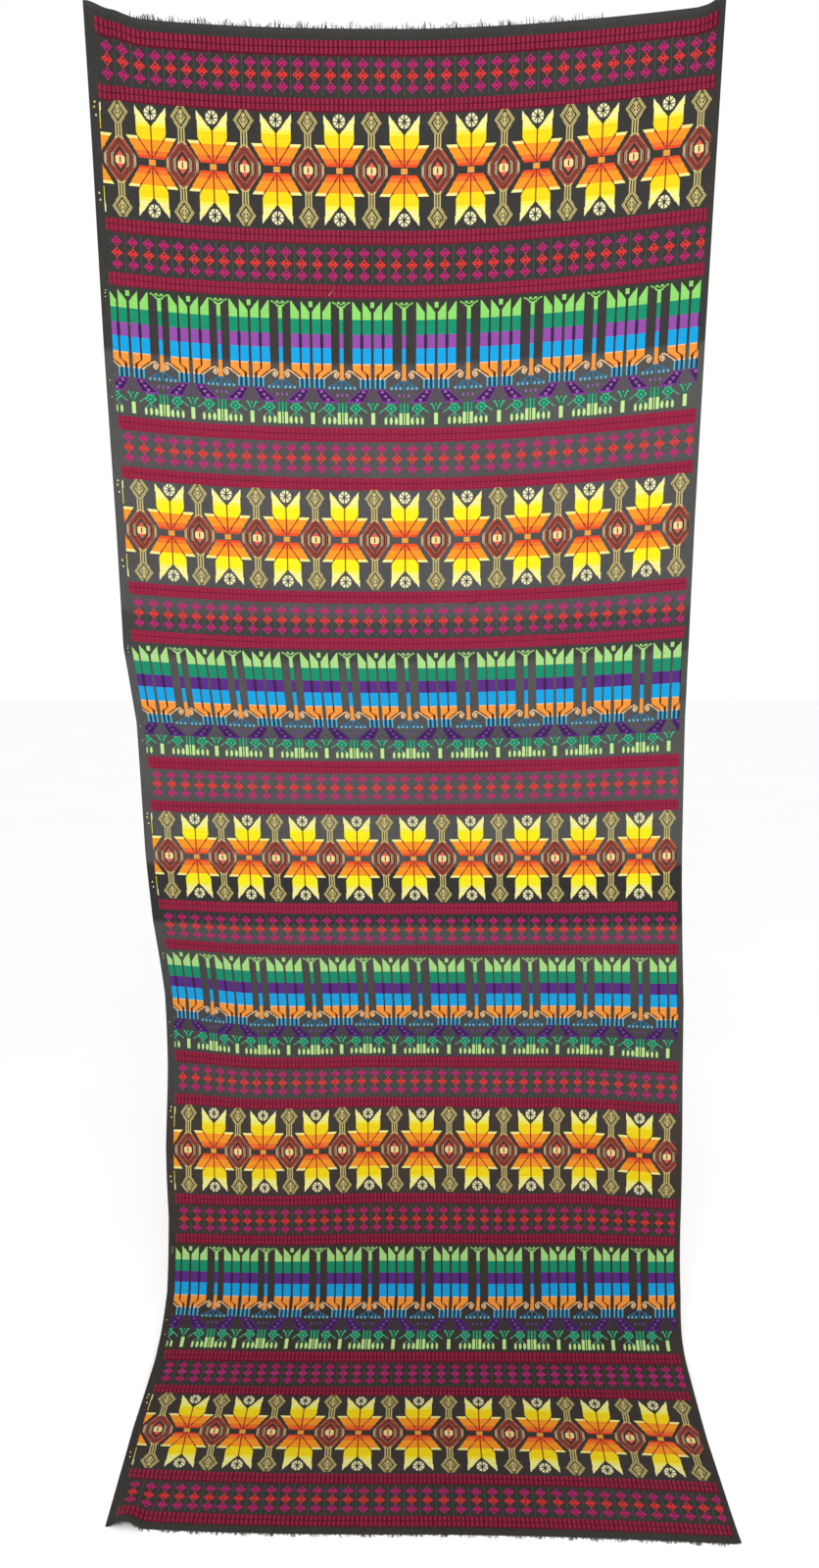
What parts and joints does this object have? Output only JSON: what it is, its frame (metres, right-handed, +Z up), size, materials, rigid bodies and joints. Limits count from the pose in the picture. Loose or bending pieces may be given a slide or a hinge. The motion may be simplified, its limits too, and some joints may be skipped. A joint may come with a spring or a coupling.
{
  "type": "corte wrap skirt",
  "caption": "Hand-woven cotton wrap skirt cloth with brocaded bands, hung open by its two top corners, its foot lying flat on the floor.",
  "frame": {"origin": "middle of the raw top edge, halfway through the cloth", "axes": "+Z up along the hanging cloth, -Y out of its front face, +X along the top edge to the viewer's right"},
  "size_m": [0.9514, 0.5841, 2.1341],
  "materials": {
    "woven_cotton": "matt plain weave with brocaded bands",
    "warp_ends": "matt cut cotton ends"
  },
  "bodies": {
    "root": {"cloth": "woven_cotton", "top_fringe": "warp_ends", "bottom_fringe": "warp_ends"}
  },
  "joints": []
}
